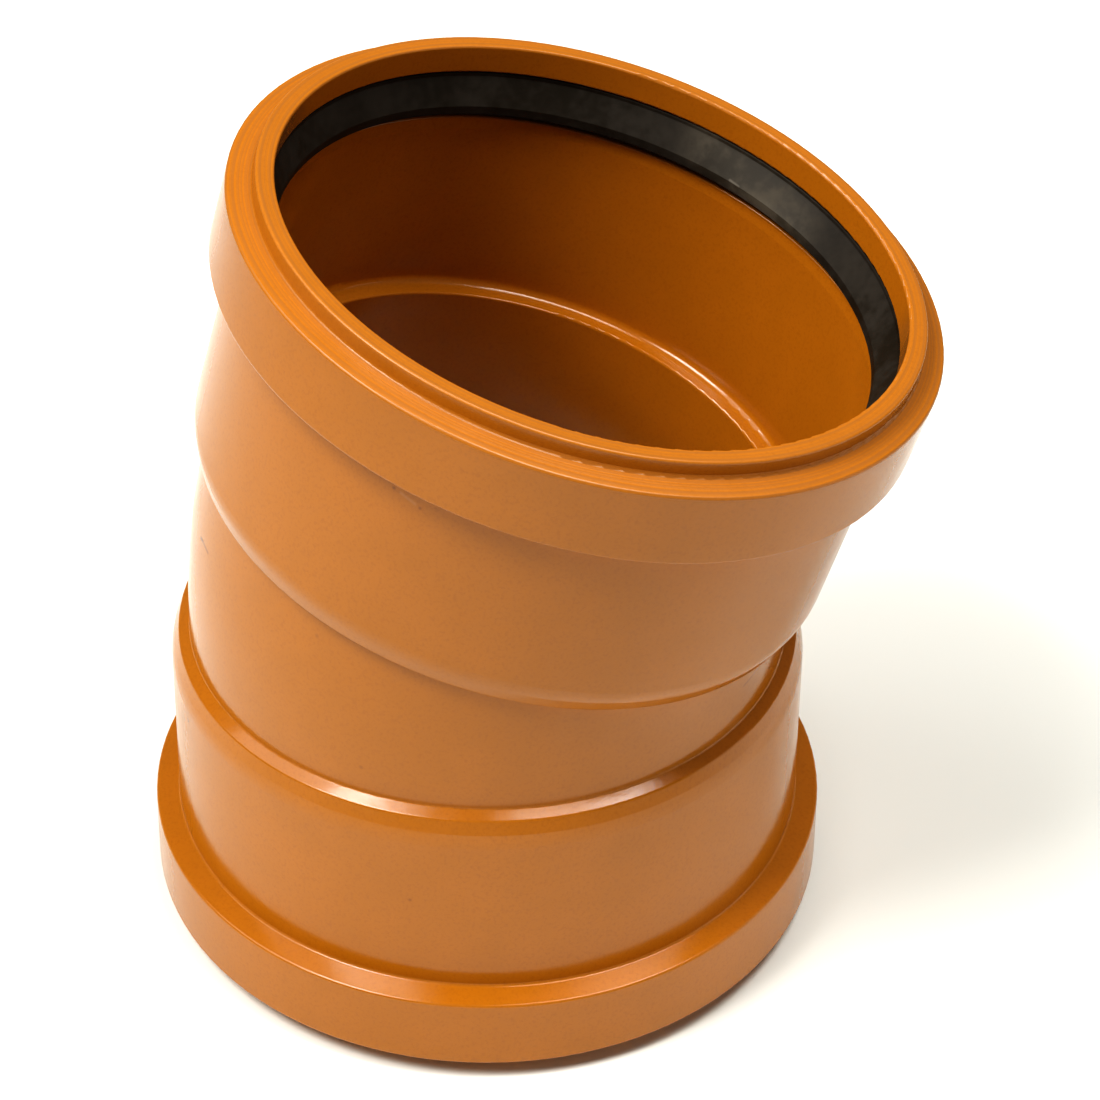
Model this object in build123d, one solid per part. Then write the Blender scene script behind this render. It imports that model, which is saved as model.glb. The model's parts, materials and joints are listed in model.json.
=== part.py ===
"""A double socket pipe bend: one moulded body with a socket at each end, and a rubber seal ring in each socket.

Lengths are in millimetres and angles in degrees. The bend stands on the mouth of its lower socket, whose axis
is upright, and the upper socket leans towards +X. The origin is on the floor, under the middle of the whole bend.
"""
import os
from math import tan, radians

from build123d import *

# The curved pipe between the sockets. It has the outside diameter of the pipe that the sockets take.
pipe_diameter = 200.4
pipe_wall = 6.2
bend_angle = 15.0
bend_radius = 185.0
straight_length = 1.0

# The socket that the plain end of a pipe is pushed into. Its barrel is a little wider at the bead.
socket_clearance = 0.3
socket_wall = 6.0
socket_depth = 96.2
barrel_draft = 0.7
shoulder_length = 9.0

# The slight taper at the socket's inner rim, which leads the pipe in past the seal.
lead_length = 4.5
lead_step = 0.7

# The lip at the mouth, and the groove behind it.
mouth_step = 1.2
lip_wall = 6.1
lip_length = 10.2
groove_depth = 7.8
groove_width = 17.2

# The bead round the groove. Its mouth-side face starts beside the lip, and its other face slopes up to the barrel.
bead_wall = 6.1
bead_end_wall = 5.4
bead_draft = 0.35
bead_rise = 1.7

# The seal ring in the groove. Its land is narrower than the pipe, and so grips it.
seal_gap = 0.3
seal_grip = 3.2
seal_land_length = 3.0

# Where the bead starts and the lip ends on the outside, as shares of the lip's length.
bead_start_share = 0.67
lip_foot_share = 0.55

# The shoulder's knee, as shares of its height and of its step, and the seal's shape as shares of its own size.
knee_height_share = 0.77
knee_step_share = 0.41
seal_land_share = 0.6
seal_brow_share = 0.12
seal_heel_share = 0.45

# The roundings, as shares of the wall that carries them.
edge_rounding_share = 0.14
bead_rounding_share = 0.18
foot_rounding_share = 0.18
barrel_rounding_share = 2.5
knee_rounding_share = 0.2
shoulder_rounding_share = 0.1
floor_rounding_share = 0.5
bore_rounding_share = 0.12
seal_rounding_share = 0.1

# Radii that follow from the sizes above, from the bore outwards.
pipe_radius = pipe_diameter / 2
bore_radius = pipe_radius - pipe_wall
land_radius = pipe_radius - seal_grip
socket_radius = pipe_radius + socket_clearance
barrel_radius = socket_radius + socket_wall
knee_radius = barrel_radius - knee_step_share * (barrel_radius - pipe_radius)
mouth_radius = socket_radius + mouth_step
lip_radius = mouth_radius + lip_wall
groove_radius = mouth_radius + groove_depth
bead_radius = groove_radius + bead_wall

# Heights above the mouth that follow from the sizes above.
lip_foot = lip_foot_share * lip_length
bead_start = bead_start_share * lip_length
groove_end = lip_length + groove_width
bead_end = groove_end + bead_end_wall
knee_height = socket_depth + knee_height_share * shoulder_length
pipe_start = socket_depth + shoulder_length
bend_start = pipe_start + straight_length
bend_reach = bend_radius * tan(radians(bend_angle / 2))
bend_centre = bend_start + bend_reach


def turned_ring(corners):
    """Turns a closed outline round Z. Each corner is a radius, a height and the rounding of that corner."""
    section = make_face(Polyline(*[(radius, height) for radius, height, rounding in corners], close=True))
    for radius, height, rounding in corners:
        if rounding > 0:
            corner = section.vertices().sort_by_distance((radius, height, 0))[0]
            section = fillet(corner, rounding)
    return revolve(Plane.XZ * section, axis=Axis.Z)


# One socket with its end of the pipe, drawn from the mouth up the outside and back down the inside.
outside = [
    (mouth_radius, 0, edge_rounding_share * lip_wall),
    (lip_radius, 0, edge_rounding_share * lip_wall),
    (lip_radius, lip_foot, foot_rounding_share * lip_wall),
    (bead_radius, bead_start, bead_rounding_share * bead_wall),
    (bead_radius - bead_draft, bead_end, bead_rounding_share * bead_wall),
    (barrel_radius + barrel_draft, bead_end + bead_rise, foot_rounding_share * socket_wall),
    (barrel_radius, socket_depth, barrel_rounding_share * socket_wall),
    (knee_radius, knee_height, knee_rounding_share * socket_wall),
    (pipe_radius, pipe_start, shoulder_rounding_share * socket_wall),
    (pipe_radius, bend_start, 0),
]
inside = [
    (bore_radius, bend_start, 0),
    (bore_radius, socket_depth, bore_rounding_share * pipe_wall),
    (socket_radius, socket_depth, floor_rounding_share * socket_wall),
    (socket_radius, groove_end + lead_length, 0),
    (socket_radius + lead_step, groove_end, edge_rounding_share * socket_wall),
    (groove_radius, groove_end, edge_rounding_share * bead_wall),
    (groove_radius, lip_length, edge_rounding_share * bead_wall),
    (mouth_radius, lip_length, edge_rounding_share * lip_wall),
]
lower_socket = turned_ring(outside + inside)

# The seal ring. Its brow shows under the lip, and its inner face slopes to the land that grips the pipe.
seal_top = lip_length + seal_gap
seal_bottom = groove_end - seal_gap
seal_back = groove_radius - seal_gap
seal_rounding = seal_rounding_share * seal_land_length
land_start = lip_length + seal_land_share * groove_width
brow_radius = mouth_radius + seal_gap
seal_corners = [
    (brow_radius, seal_top, seal_rounding),
    (seal_back, seal_top, seal_rounding),
    (seal_back, seal_bottom, seal_rounding),
    (land_radius + seal_heel_share * (seal_back - land_radius), seal_bottom, seal_rounding),
    (land_radius, land_start + seal_land_length, seal_rounding),
    (land_radius, land_start, seal_rounding),
    (brow_radius, seal_top + seal_brow_share * (land_start - seal_top), seal_rounding),
]
lower_seal = turned_ring(seal_corners)

# The curved pipe: a ring section swept round the centre of the bend, which lies towards +X.
pipe_ring = Plane.XY.offset(bend_start) * (Circle(pipe_radius) - Circle(bore_radius))
bend_axis = Axis((bend_radius, 0, bend_start), (0, 1, 0))
curved_pipe = revolve(pipe_ring, axis=bend_axis, revolution_arc=bend_angle)

# Both ends are alike, so the upper socket and seal mirror the lower ones in the plane that halves the bend.
upper_axis = Vector(0, 0, 1).rotate(Axis.Y, bend_angle)
middle_plane = Plane((0, 0, bend_centre), z_dir=Vector(0, 0, 1) + upper_axis)
upper_socket = mirror(lower_socket, about=middle_plane)
upper_seal = mirror(lower_seal, about=middle_plane)
body = lower_socket + curved_pipe + upper_socket

# Everything was drawn round the lower socket's axis, and now moves so that the bend's middle is over the origin.
to_middle = Location((-body.bounding_box().center().X, 0, 0))
pieces = {
    "bend_body": to_middle * body,
    "seal_ring_lower": to_middle * lower_seal,
    "seal_ring_upper": to_middle * upper_seal,
}
os.makedirs("parts", exist_ok=True)
for name, piece in pieces.items():
    export_step(piece, f"parts/{name}.step")
    print(name, "volume", round(piece.volume / 1000, 1), "cm3, solids", len(piece.solids()))
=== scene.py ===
# %% [markdown]
# # A double socket pipe bend
# The object is a drain fitting: one orange-brown plastic body with a socket at each end, and a
# black rubber ring in each socket. The body and the rings come from the CAD model with their true
# shapes, so nothing is modelled again here.

# %% Load the fitting
import json
from math import cos, radians, sin

import bpy
from mathutils import Matrix, Vector

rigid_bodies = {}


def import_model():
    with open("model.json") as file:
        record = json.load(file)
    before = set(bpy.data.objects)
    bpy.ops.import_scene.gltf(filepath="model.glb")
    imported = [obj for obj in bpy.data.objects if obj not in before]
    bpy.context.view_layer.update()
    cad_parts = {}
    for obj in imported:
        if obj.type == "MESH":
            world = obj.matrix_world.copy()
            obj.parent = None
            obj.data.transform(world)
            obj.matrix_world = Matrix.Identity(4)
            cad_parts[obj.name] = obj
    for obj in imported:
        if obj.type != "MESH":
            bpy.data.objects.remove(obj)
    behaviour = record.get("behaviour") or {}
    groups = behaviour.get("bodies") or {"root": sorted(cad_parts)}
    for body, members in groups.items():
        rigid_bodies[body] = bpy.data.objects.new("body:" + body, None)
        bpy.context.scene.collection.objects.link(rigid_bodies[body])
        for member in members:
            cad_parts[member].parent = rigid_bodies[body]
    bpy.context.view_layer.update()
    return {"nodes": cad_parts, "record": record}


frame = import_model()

nodes = frame["nodes"]
for name, piece in nodes.items():
    print(name, len(piece.data.polygons), "faces")

# %% [markdown]
# ## The camera
# The photograph was taken from above and in front, through a long lens. A camera's picture is
# fixed by where it stands, how it is turned and how long its lens is. These were found by matching
# the circles of the fitting's edges to the photograph, so here they are plain numbers. A matrix
# built from the directions right, up and back places the camera exactly, with no need for a
# tracking constraint. Angles are in degrees, distances in metres, lens and sensor in millimetres.

# %% Place the camera
camera_azimuth = 5.829
camera_elevation = 37.834
camera_roll = 0.955
camera_distance = 1.1198
camera_target = Vector((0.00648, 0.00208, 0.13067))
camera_lens = 110.32
camera_sensor = 36

turn, rise, roll = radians(camera_azimuth), radians(camera_elevation), radians(camera_roll)
back = Vector((sin(turn) * cos(rise), -cos(turn) * cos(rise), sin(rise)))
level = Vector((cos(turn), sin(turn), 0))
upright = back.cross(level)
right = level * cos(roll) + upright * sin(roll)
up = upright * cos(roll) - level * sin(roll)

camera_data = bpy.data.cameras.new("camera")
camera_data.lens = camera_lens
camera_data.sensor_width = camera_sensor
camera = bpy.data.objects.new("camera", camera_data)
stand = Matrix.Translation(camera_target + back * camera_distance)
camera.matrix_world = stand @ Matrix((right, up, back)).transposed().to_4x4()
bpy.context.collection.objects.link(camera)
bpy.context.scene.camera = camera
print("camera at", [round(v, 3) for v in camera.matrix_world.translation])

# %% [markdown]
# ## Helpers for materials
# A material is a graph of small nodes, and building one is mostly adding nodes and filling their
# inputs. An input takes either a plain value or another node's output, which becomes a wire. A
# node group is a sub-graph with named inputs and outputs, so that one effect can be used by
# several materials.

# %% Make the helpers
def fill(tree, socket, value):
    """Gives an input a wire or a plain value, and leaves it alone for None."""
    if isinstance(value, bpy.types.NodeSocket):
        tree.links.new(value, socket)
    elif value is not None:
        socket.default_value = value


def add(tree, kind, *values, **settings):
    """Adds a node. Settings go to its properties, and values to its inputs in order."""
    node = tree.nodes.new("ShaderNode" + kind)
    for key, value in settings.items():
        setattr(node, key, value)
    for socket, value in zip(node.inputs, values):
        fill(tree, socket, value)
    return node


def math_node(tree, operation, *values):
    """Adds a Math node and returns its output."""
    return add(tree, "Math", *values, operation=operation).outputs[0]


def vector_node(tree, operation, *values):
    """Adds a Vector Math node and returns its output, a number or a vector."""
    node = add(tree, "VectorMath", *values, operation=operation)
    gives_number = operation in ("DOT_PRODUCT", "LENGTH", "DISTANCE")
    return node.outputs["Value" if gives_number else "Vector"]


def fade(tree, value, start, end, at_start, at_end):
    """Adds a Map Range node that goes smoothly between two values, and returns its output."""
    limits = (start, end, at_start, at_end)
    node = add(tree, "MapRange", value, *limits, interpolation_type="SMOOTHSTEP")
    return node.outputs["Result"]


def blend_colours(tree, share, first, second):
    """Adds a Mix node between two colours and returns its output."""
    node = add(tree, "Mix", data_type="RGBA")
    for label, value in (("Factor", share), ("A", first), ("B", second)):
        fill(tree, node.inputs[label], value)
    return node.outputs["Result"]


def noise(tree, place, scale, detail, roughness=0.5):
    """Adds a noise that fills space and returns its value."""
    return add(tree, "TexNoise", place, None, scale, detail, roughness).outputs["Fac"]


def new_group(name, inputs, outputs):
    """Starts a node group and returns its tree, its input sockets and its output node."""
    tree = bpy.data.node_groups.new(name, "ShaderNodeTree")
    for way, sockets in (("INPUT", inputs), ("OUTPUT", outputs)):
        for label, kind in sockets.items():
            tree.interface.new_socket(label, in_out=way, socket_type="NodeSocket" + kind)
    return tree, tree.nodes.new("NodeGroupInput").outputs, tree.nodes.new("NodeGroupOutput")


def new_material(name):
    """Starts a material and returns it, its tree, its shader and the object coordinates."""
    material = bpy.data.materials.new(name)
    material.use_nodes = True
    tree = material.node_tree
    return material, tree, tree.nodes["Principled BSDF"], add(tree, "TexCoord").outputs["Object"]


print("helpers ready")

# %% [markdown]
# ## Cloudy tone
# No moulded piece has quite one colour: the melt mixes unevenly, and hands and dust dull it in
# patches. The group gives a soft cloud mask from two noises, a broad one and a narrow one, that
# materials can use for colour and for roughness. It takes object coordinates, so that the clouds
# stay on the piece and keep their true size.

# %% Build the cloud group
narrow_times = 7.0
broad_weight, narrow_weight = 0.65, 0.35
cloud_edges = (0.35, 0.65)

cloud_inputs = {"Place": "Vector", "Scale": "Float"}
cloud_group, given, result = new_group("cloud", cloud_inputs, {"Mask": "Float"})
broad = noise(cloud_group, given["Place"], given["Scale"], detail=3.0)
narrow_scale = math_node(cloud_group, "MULTIPLY", given["Scale"], narrow_times)
narrow = noise(cloud_group, given["Place"], narrow_scale, detail=2.0)
narrow_part = math_node(cloud_group, "MULTIPLY", narrow, narrow_weight)
both = math_node(cloud_group, "MULTIPLY_ADD", broad, broad_weight, narrow_part)
cloud_mask = fade(cloud_group, both, *cloud_edges, 0.0, 1.0)
cloud_group.links.new(cloud_mask, result.inputs["Mask"])


def clouds(tree, place, scale):
    """Adds the cloud group to a material and returns its mask. A larger scale is finer."""
    return add(tree, "Group", place, scale, node_tree=cloud_group).outputs["Mask"]


print("cloud group:", len(cloud_group.nodes), "nodes")

# %% [markdown]
# ## Where a point is in its socket
# Both sockets are turned shapes, so tool lines, edges and dust follow circles round a socket's
# axis. The group turns a place into the two numbers that a lathe hand would use: the radius from
# the nearer socket's axis, and the depth below its mouth. The axes come from the record's mounts,
# so that the pattern follows the CAD model. The lower mouth stands on the floor, so the height of
# the lower mount is how deep a mount lies in its socket.

# %% Build the socket group
socket_mounts = [mount for mount in frame["record"]["mounts"] if mount["kind"] == "bore"]
mount_depth = socket_mounts[0]["pos_m"][2]
socket_outputs = {"Radius": "Float", "Depth": "Float"}
socket_group, given, result = new_group("socket_place", {"Place": "Vector"}, socket_outputs)
radii, depths = [], []
for mount in socket_mounts:
    outward = Vector(mount["axis"])
    mouth = Vector(mount["pos_m"]) + outward * mount_depth
    offset = vector_node(socket_group, "SUBTRACT", given["Place"], mouth)
    depths.append(vector_node(socket_group, "DOT_PRODUCT", offset, -outward))
    along = vector_node(socket_group, "PROJECT", offset, outward)
    across = vector_node(socket_group, "SUBTRACT", offset, along)
    radii.append(vector_node(socket_group, "LENGTH", across))
    print(mount["name"], "mouth at", [round(v, 4) for v in mouth])
first_is_nearer = math_node(socket_group, "LESS_THAN", *depths)
nearer = add(socket_group, "Mix", first_is_nearer, None, radii[1], radii[0], data_type="FLOAT")
socket_group.links.new(nearer.outputs[0], result.inputs["Radius"])
socket_group.links.new(math_node(socket_group, "MINIMUM", *depths), result.inputs["Depth"])


def in_socket(tree, place):
    """Adds the socket group to a material and returns its outputs, Radius and Depth."""
    return add(tree, "Group", place, node_tree=socket_group).outputs


# %% [markdown]
# ## Strokes
# Scratches and scuffs are short lines at known places. They could be cut into the mesh, but they
# are far shallower than the wall is thick, so colour alone shows them well. The group measures how
# far a place is from a straight line between two points, and fades from one on the line to nothing
# at its reach. A start and an end at the same point make a round dot.

# %% Build the stroke group
stroke_inputs = {"Place": "Vector", "Start": "Vector", "End": "Vector", "Reach": "Float"}
stroke_group, given, result = new_group("stroke", stroke_inputs, {"Mask": "Float"})
line = vector_node(stroke_group, "SUBTRACT", given["End"], given["Start"])
offset = vector_node(stroke_group, "SUBTRACT", given["Place"], given["Start"])
product = vector_node(stroke_group, "DOT_PRODUCT", offset, line)
square = vector_node(stroke_group, "DOT_PRODUCT", line, line)
share = add(stroke_group, "Math", product, square, operation="DIVIDE", use_clamp=True)
nearest = vector_node(stroke_group, "SCALE", line, None, None, share.outputs[0])
miss = vector_node(stroke_group, "DISTANCE", offset, nearest)
stroke_mask = fade(stroke_group, miss, 0.0, given["Reach"], 1.0, 0.0)
stroke_group.links.new(stroke_mask, result.inputs["Mask"])


def strokes(tree, place, marks):
    """Adds strokes and returns one mask. A mark is a start, an end, a reach and a strength."""
    whole = None
    for start, end, reach, strength in marks:
        node = add(tree, "Group", place, start, end, reach, node_tree=stroke_group)
        mask = math_node(tree, "MULTIPLY", node.outputs["Mask"], strength)
        whole = math_node(tree, "MAXIMUM", whole, mask) if whole else mask
    return whole


def dot(middle, reach, strength):
    """Returns a mark that starts and ends at one point."""
    return middle, middle, reach, strength


print("stroke group:", len(stroke_group.nodes), "nodes")

# %% [markdown]
# ## Orange-brown plastic
# PVC for drains is coloured right through, and it leaves its polished steel mould with a glossy
# skin. A flat colour would look like a drawing, so the colour drifts a little over the surface and
# has a fine speckle in it.

# %% Colour the body
deep_orange, light_orange = (0.405, 0.144, 0.0070, 1), (0.435, 0.154, 0.0085, 1)
speck_brown = (0.335, 0.112, 0.006, 1)
drift_scale, speckle_scale = 9.0, 900.0
speck_edges, speck_strength = (0.45, 0.75), 0.45
plastic_ior = 1.5


def dress(node_name, material):
    """Gives a CAD piece its one material."""
    nodes[node_name].data.materials.clear()
    nodes[node_name].data.materials.append(material)


plastic, tree, shader, place = new_material("orange_plastic")
drift = clouds(tree, place, drift_scale)
tone = blend_colours(tree, drift, deep_orange, light_orange)
speckle = noise(tree, place, speckle_scale, detail=2.0, roughness=0.6)
speck = fade(tree, speckle, *speck_edges, 0.0, speck_strength)
tone = blend_colours(tree, speck, tone, speck_brown)
shader.inputs["IOR"].default_value = plastic_ior
dress("bend_body", plastic)
print("plastic on", nodes["bend_body"].name)

# %% [markdown]
# ## Scratches and scuffs
# The fitting has been handled and stacked: it has a curved scratch and a short mark on its left
# side, a nick under the upper bead, and a few small dark marks. A thin dark line also runs on the
# lower pipe beside the upper knee's crease. Each one is a stroke at its place on the surface, in
# metres. Dark strokes go over the plastic's colour first, and the pale scuff of the nick after
# them.

# %% Mark the body
mark_brown, scuff_pale = (0.13, 0.036, 0.002, 1), (0.56, 0.30, 0.14, 1)
scratch = (
    ((-0.1020, -0.0381, 0.1556), (-0.1009, -0.0404, 0.1563), 0.0011, 0.8),
    ((-0.1009, -0.0404, 0.1563), (-0.0982, -0.0461, 0.1561), 0.0009, 0.6),
)
short_mark = (
    ((-0.1107, -0.0447, 0.0869), (-0.1092, -0.0478, 0.0865), 0.0010, 0.8),
    dot((-0.1068, -0.0522, 0.0898), 0.0025, 0.3),
)
nick_ends = (
    dot((-0.0292, -0.0994, 0.2282), 0.0009, 0.55),
    dot((-0.0211, -0.1024, 0.2239), 0.0009, 0.55),
)
small_marks = (
    dot((-0.0255, -0.1061, 0.0695), 0.0010, 0.5),
    # A thin dark line on the lower pipe beside the upper knee's crease.
    ((0.0788, -0.0416, 0.1235), (0.0749, -0.0487, 0.1214), 0.0007, 0.5),
    dot((-0.0559, -0.0877, 0.1602), 0.0012, 0.3),
    dot((-0.0419, -0.0961, 0.1154), 0.0012, 0.3),
)
nick_scuff = (((-0.0270, -0.1003, 0.2272), (-0.0227, -0.1019, 0.2249), 0.0010, 0.22),)
dark_marks = scratch + short_mark + nick_ends + small_marks
tone = blend_colours(tree, strokes(tree, place, dark_marks), tone, mark_brown)
tone = blend_colours(tree, strokes(tree, place, nick_scuff), tone, scuff_pale)
print("marks on the body:", len(dark_marks + nick_scuff))

# %% [markdown]
# ## Turned faces
# The face of the lip and the ledge beside it were trimmed on a lathe, which left fine rings. An
# image of rings would have to be wrapped round the mouth, so the socket group does the work: depth
# and radius find those two faces, and a noise that changes only with the radius gives the rings.
# They darken the colour a little. Each pair of limits is where a mask starts and stops fading.

# %% Ring the turned faces
lip_face_depths = (0.0004, 0.0009)
ledge_depths, ledge_radii = (0.0076, 0.0084), (0.1076, 0.1084)
rings_per_metre, ring_detail = 1000.0, 1.0
ring_edges = (0.38, 0.62)
ring_brown = (0.32, 0.125, 0.022, 1)
ring_strength = 0.7

spot = in_socket(tree, place)
lip_face = fade(tree, spot["Depth"], *lip_face_depths, 1.0, 0.0)
near_mouth = fade(tree, spot["Depth"], *ledge_depths, 1.0, 0.0)
outside_lip = fade(tree, spot["Radius"], *ledge_radii, 0.0, 1.0)
ledge = math_node(tree, "MULTIPLY", near_mouth, outside_lip)
turned = math_node(tree, "MAXIMUM", lip_face, ledge)
ring_inputs = (None, spot["Radius"], rings_per_metre, ring_detail)
ring_noise = add(tree, "TexNoise", *ring_inputs, noise_dimensions="1D").outputs["Fac"]
rings = fade(tree, ring_noise, *ring_edges, 0.0, 1.0)
turned_rings = math_node(tree, "MULTIPLY", turned, rings)
ring_share = math_node(tree, "MULTIPLY", turned_rings, ring_strength)
tone = blend_colours(tree, ring_share, tone, ring_brown)
tree.links.new(tone, shader.inputs["Base Color"])
print("rings about", 1000 / rings_per_metre, "mm wide")

# %% [markdown]
# ## Skin
# The moulded skin is glossy with a very slight waviness, and the turned faces are duller. Gloss is
# the shader's roughness, which a cloud varies a little. Waves, rings and a fine grain could be
# displaced geometry, but they are only a few hundredths of a millimetre high, so a bump that tilts
# the light is enough.

# %% Finish the skin
skin_roughness = (0.13, 0.19)
turned_roughness = 0.2
gloss_scale, wave_scale, grain_scale = 14.0, 200.0, 1100.0
ring_height, grain_height = 0.6, 0.3
bump_height = 0.00004

gloss = clouds(tree, place, gloss_scale)
moulded = fade(tree, gloss, 0.0, 1.0, *skin_roughness)
roughness = math_node(tree, "MULTIPLY_ADD", turned, turned_roughness, moulded)
tree.links.new(roughness, shader.inputs["Roughness"])
waves = noise(tree, place, wave_scale, detail=1.0)
grain = noise(tree, place, grain_scale, detail=1.0)
ringed_waves = math_node(tree, "MULTIPLY_ADD", turned_rings, ring_height, waves)
height = math_node(tree, "MULTIPLY_ADD", grain, grain_height, ringed_waves)
bump = add(tree, "Bump", 1.0, bump_height)
tree.links.new(height, bump.inputs["Height"])
tree.links.new(bump.outputs["Normal"], shader.inputs["Normal"])
print("plastic:", len(tree.nodes), "nodes")

# %% [markdown]
# ## Black rubber
# The seal rings are soft black rubber. Rubber is matt and takes up dust, which shows as a grey
# mottle, most of all on a scuffed stretch at the right of the upper ring. Strokes with a long
# reach place that stretch, a cloud breaks it up, and the socket group's depth makes it palest at
# the lower edge, which pipes rub. One thin pale line crosses it.

# %% Colour the seals
deep_black, worn_black = (0.016, 0.012, 0.007, 1), (0.031, 0.025, 0.018, 1)
dust_grey, line_grey = (0.118, 0.100, 0.072, 1), (0.16, 0.14, 0.11, 1)
mottle_scale = 42.0
rubbed_depths, rubbed_strengths = (0.0180, 0.0215), (0.6, 1.0)
patch_strengths = (0.45, 1.0)
rubber_roughness = (0.5, 0.68)
rubber_specular = 0.2
scuffed_stretch = (
    ((0.0500, 0.0958, 0.2361), (0.0607, 0.0894, 0.2311), 0.016, 0.9),
    ((0.0607, 0.0894, 0.2311), (0.0770, 0.0744, 0.2223), 0.018, 0.8),
)
pale_line = (((0.0560, 0.0873, 0.2262), (0.0590, 0.0853, 0.2252), 0.0007, 0.6),)

rubber, tree, shader, place = new_material("black_rubber")
mottle = clouds(tree, place, mottle_scale)
seal_depth = in_socket(tree, place)["Depth"]
rubbed_edge = fade(tree, seal_depth, *rubbed_depths, *rubbed_strengths)
patches = fade(tree, mottle, 0.0, 1.0, *patch_strengths)
patchy = math_node(tree, "MULTIPLY", rubbed_edge, patches)
dust = math_node(tree, "MULTIPLY", strokes(tree, place, scuffed_stretch), patchy)
tone = blend_colours(tree, mottle, deep_black, worn_black)
tone = blend_colours(tree, dust, tone, dust_grey)
tone = blend_colours(tree, strokes(tree, place, pale_line), tone, line_grey)
tree.links.new(tone, shader.inputs["Base Color"])
tree.links.new(fade(tree, mottle, 0.0, 1.0, *rubber_roughness), shader.inputs["Roughness"])
shader.inputs["Specular IOR Level"].default_value = rubber_specular
for ring in ("seal_ring_lower", "seal_ring_upper"):
    dress(ring, rubber)
print("rubber:", len(tree.nodes), "nodes")

# %% [markdown]
# ## The floor
# The photograph has a white surround, and the light that it throws up gives the fitting's walls
# their pale sheen. A large plane does both: it is white round the fitting, and a softer grey
# farther out, so that the upper bead doesn't mirror too bright a horizon.

# %% Lay the floor
floor_size = 12
white_until, grey_from = 0.45, 0.9
floor_white, floor_grey = (0.82, 0.82, 0.76, 1), (0.50, 0.50, 0.48, 1)
floor_roughness, floor_specular = 0.95, 0.1

bpy.ops.mesh.primitive_plane_add(size=floor_size, location=(0, 0, 0))
floor = bpy.context.object
floor.name = "floor"
floor_paint, tree, shader, place = new_material("floor_paint")
from_middle = vector_node(tree, "LENGTH", place)
greyness = fade(tree, from_middle, white_until, grey_from, 0.0, 1.0)
tone = blend_colours(tree, greyness, floor_white, floor_grey)
tree.links.new(tone, shader.inputs["Base Color"])
shader.inputs["Roughness"].default_value = floor_roughness
shader.inputs["Specular IOR Level"].default_value = floor_specular
floor.data.materials.append(floor_paint)
print("floor", [round(v, 1) for v in floor.dimensions])

# %% [markdown]
# ## The lights
# The light comes mostly from the upper left: a soft box and a broader, fainter one beside it. A
# third box hangs over the right side, weak ones low on the right and in front open the shadows,
# and a dim white world fills in the rest. The boxes are far enough away to light the fitting
# evenly from top to bottom, and the rounded edges mirror the key and the one over the right side
# as short bright lines. The picture has hard contrast, which the view's look gives.

# %% Hang the lights
world_strength = 0.12
light_aim = Vector((0, 0, 0.13))

world = bpy.data.worlds.new("studio")
bpy.context.scene.world = world
world.use_nodes = True
background = world.node_tree.nodes["Background"]
background.inputs["Color"].default_value = (1, 1, 1, 1)
background.inputs["Strength"].default_value = world_strength


def soft_box(name, centre, size, power):
    """Hangs a square light at a place, turned to the fitting's middle."""
    data = bpy.data.lights.new(name, "AREA")
    data.shape = "SQUARE"
    data.size = size
    data.energy = power
    lamp = bpy.data.objects.new(name, data)
    lamp.location = centre
    lamp.rotation_euler = (Vector(centre) - light_aim).to_track_quat("Z", "Y").to_euler()
    bpy.context.collection.objects.link(lamp)


soft_box("key", (-1.354, -1.020, 2.844), 1.2, 61)
soft_box("broad_left", (-1.773, -0.474, 2.751), 2.6, 47)
soft_box("over_right", (0.951, 0, 3.185), 1.4, 66)
soft_box("low_right", (3.13, 0, 0.795), 1.5, 5)
soft_box("low_front", (0, -3.13, 0.795), 1.5, 2)
bpy.context.scene.view_settings.view_transform = "Standard"
bpy.context.scene.view_settings.look = "High Contrast"
